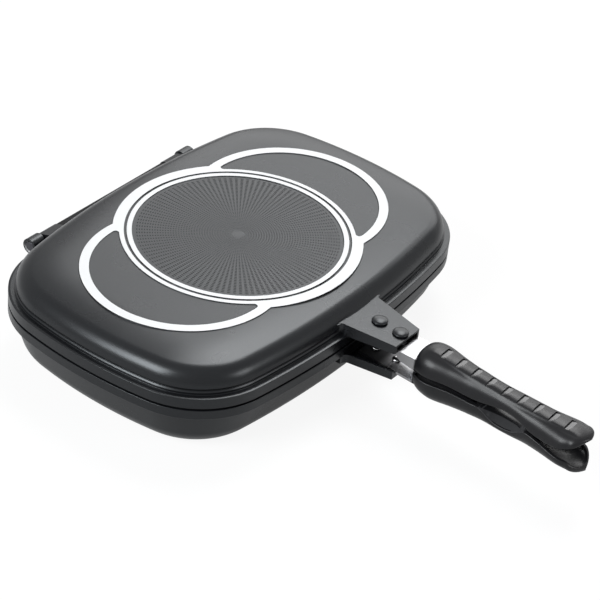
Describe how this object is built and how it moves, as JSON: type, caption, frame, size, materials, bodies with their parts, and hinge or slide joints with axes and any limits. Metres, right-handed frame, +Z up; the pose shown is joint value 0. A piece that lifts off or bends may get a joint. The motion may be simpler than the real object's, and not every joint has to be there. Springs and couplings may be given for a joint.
{
  "type": "double sided flip pan",
  "caption": "Flip pan of two ribbed cast halves that close on a rear hinge, with a seal in the rim and a split two-part handle riveted on at the front.",
  "frame": {"origin": "middle of the bounding box in plan, at the height of the ribs that the lower half stands on", "axes": "+Z up, +Y from the handle toward the hinge (the longest extent), +X along the hinge"},
  "size_m": [0.32, 0.4152, 0.0708],
  "materials": {
    "charcoal_coating": "satin charcoal non-stick coating with a fine metallic grain, over cast aluminium",
    "polished_steel": "polished stainless steel",
    "black_steel": "black painted tube",
    "black_bakelite": "satin black phenolic",
    "black_silicone": "matt black silicone",
    "magnet_grey": "dark grey sintered magnet"
  },
  "bodies": {
    "lower": {"lower_pan": "charcoal_coating", "silicone_gasket": "black_silicone", "hinge_rod": "polished_steel", "hinge_rod_cap": "polished_steel", "hinge_sleeve": "black_steel", "lower_shank": "polished_steel", "lower_rivet_1": "polished_steel", "lower_rivet_2": "polished_steel", "lower_grip": "black_bakelite", "lower_grip_screw": "polished_steel", "lower_magnet": "magnet_grey"},
    "upper": {"upper_pan": "charcoal_coating", "upper_shank": "polished_steel", "upper_rivet_1": "charcoal_coating", "upper_rivet_2": "charcoal_coating", "upper_grip": "black_bakelite", "upper_grip_screw": "polished_steel", "upper_magnet": "magnet_grey"}
  },
  "joints": [
    {"name": "hinge", "type": "hinge", "parent": "lower", "child": "upper", "pos_m": [0, 0.20165, 0.0423], "axis": [-1, 0, 0], "range_deg": [0, 180]}
  ]
}
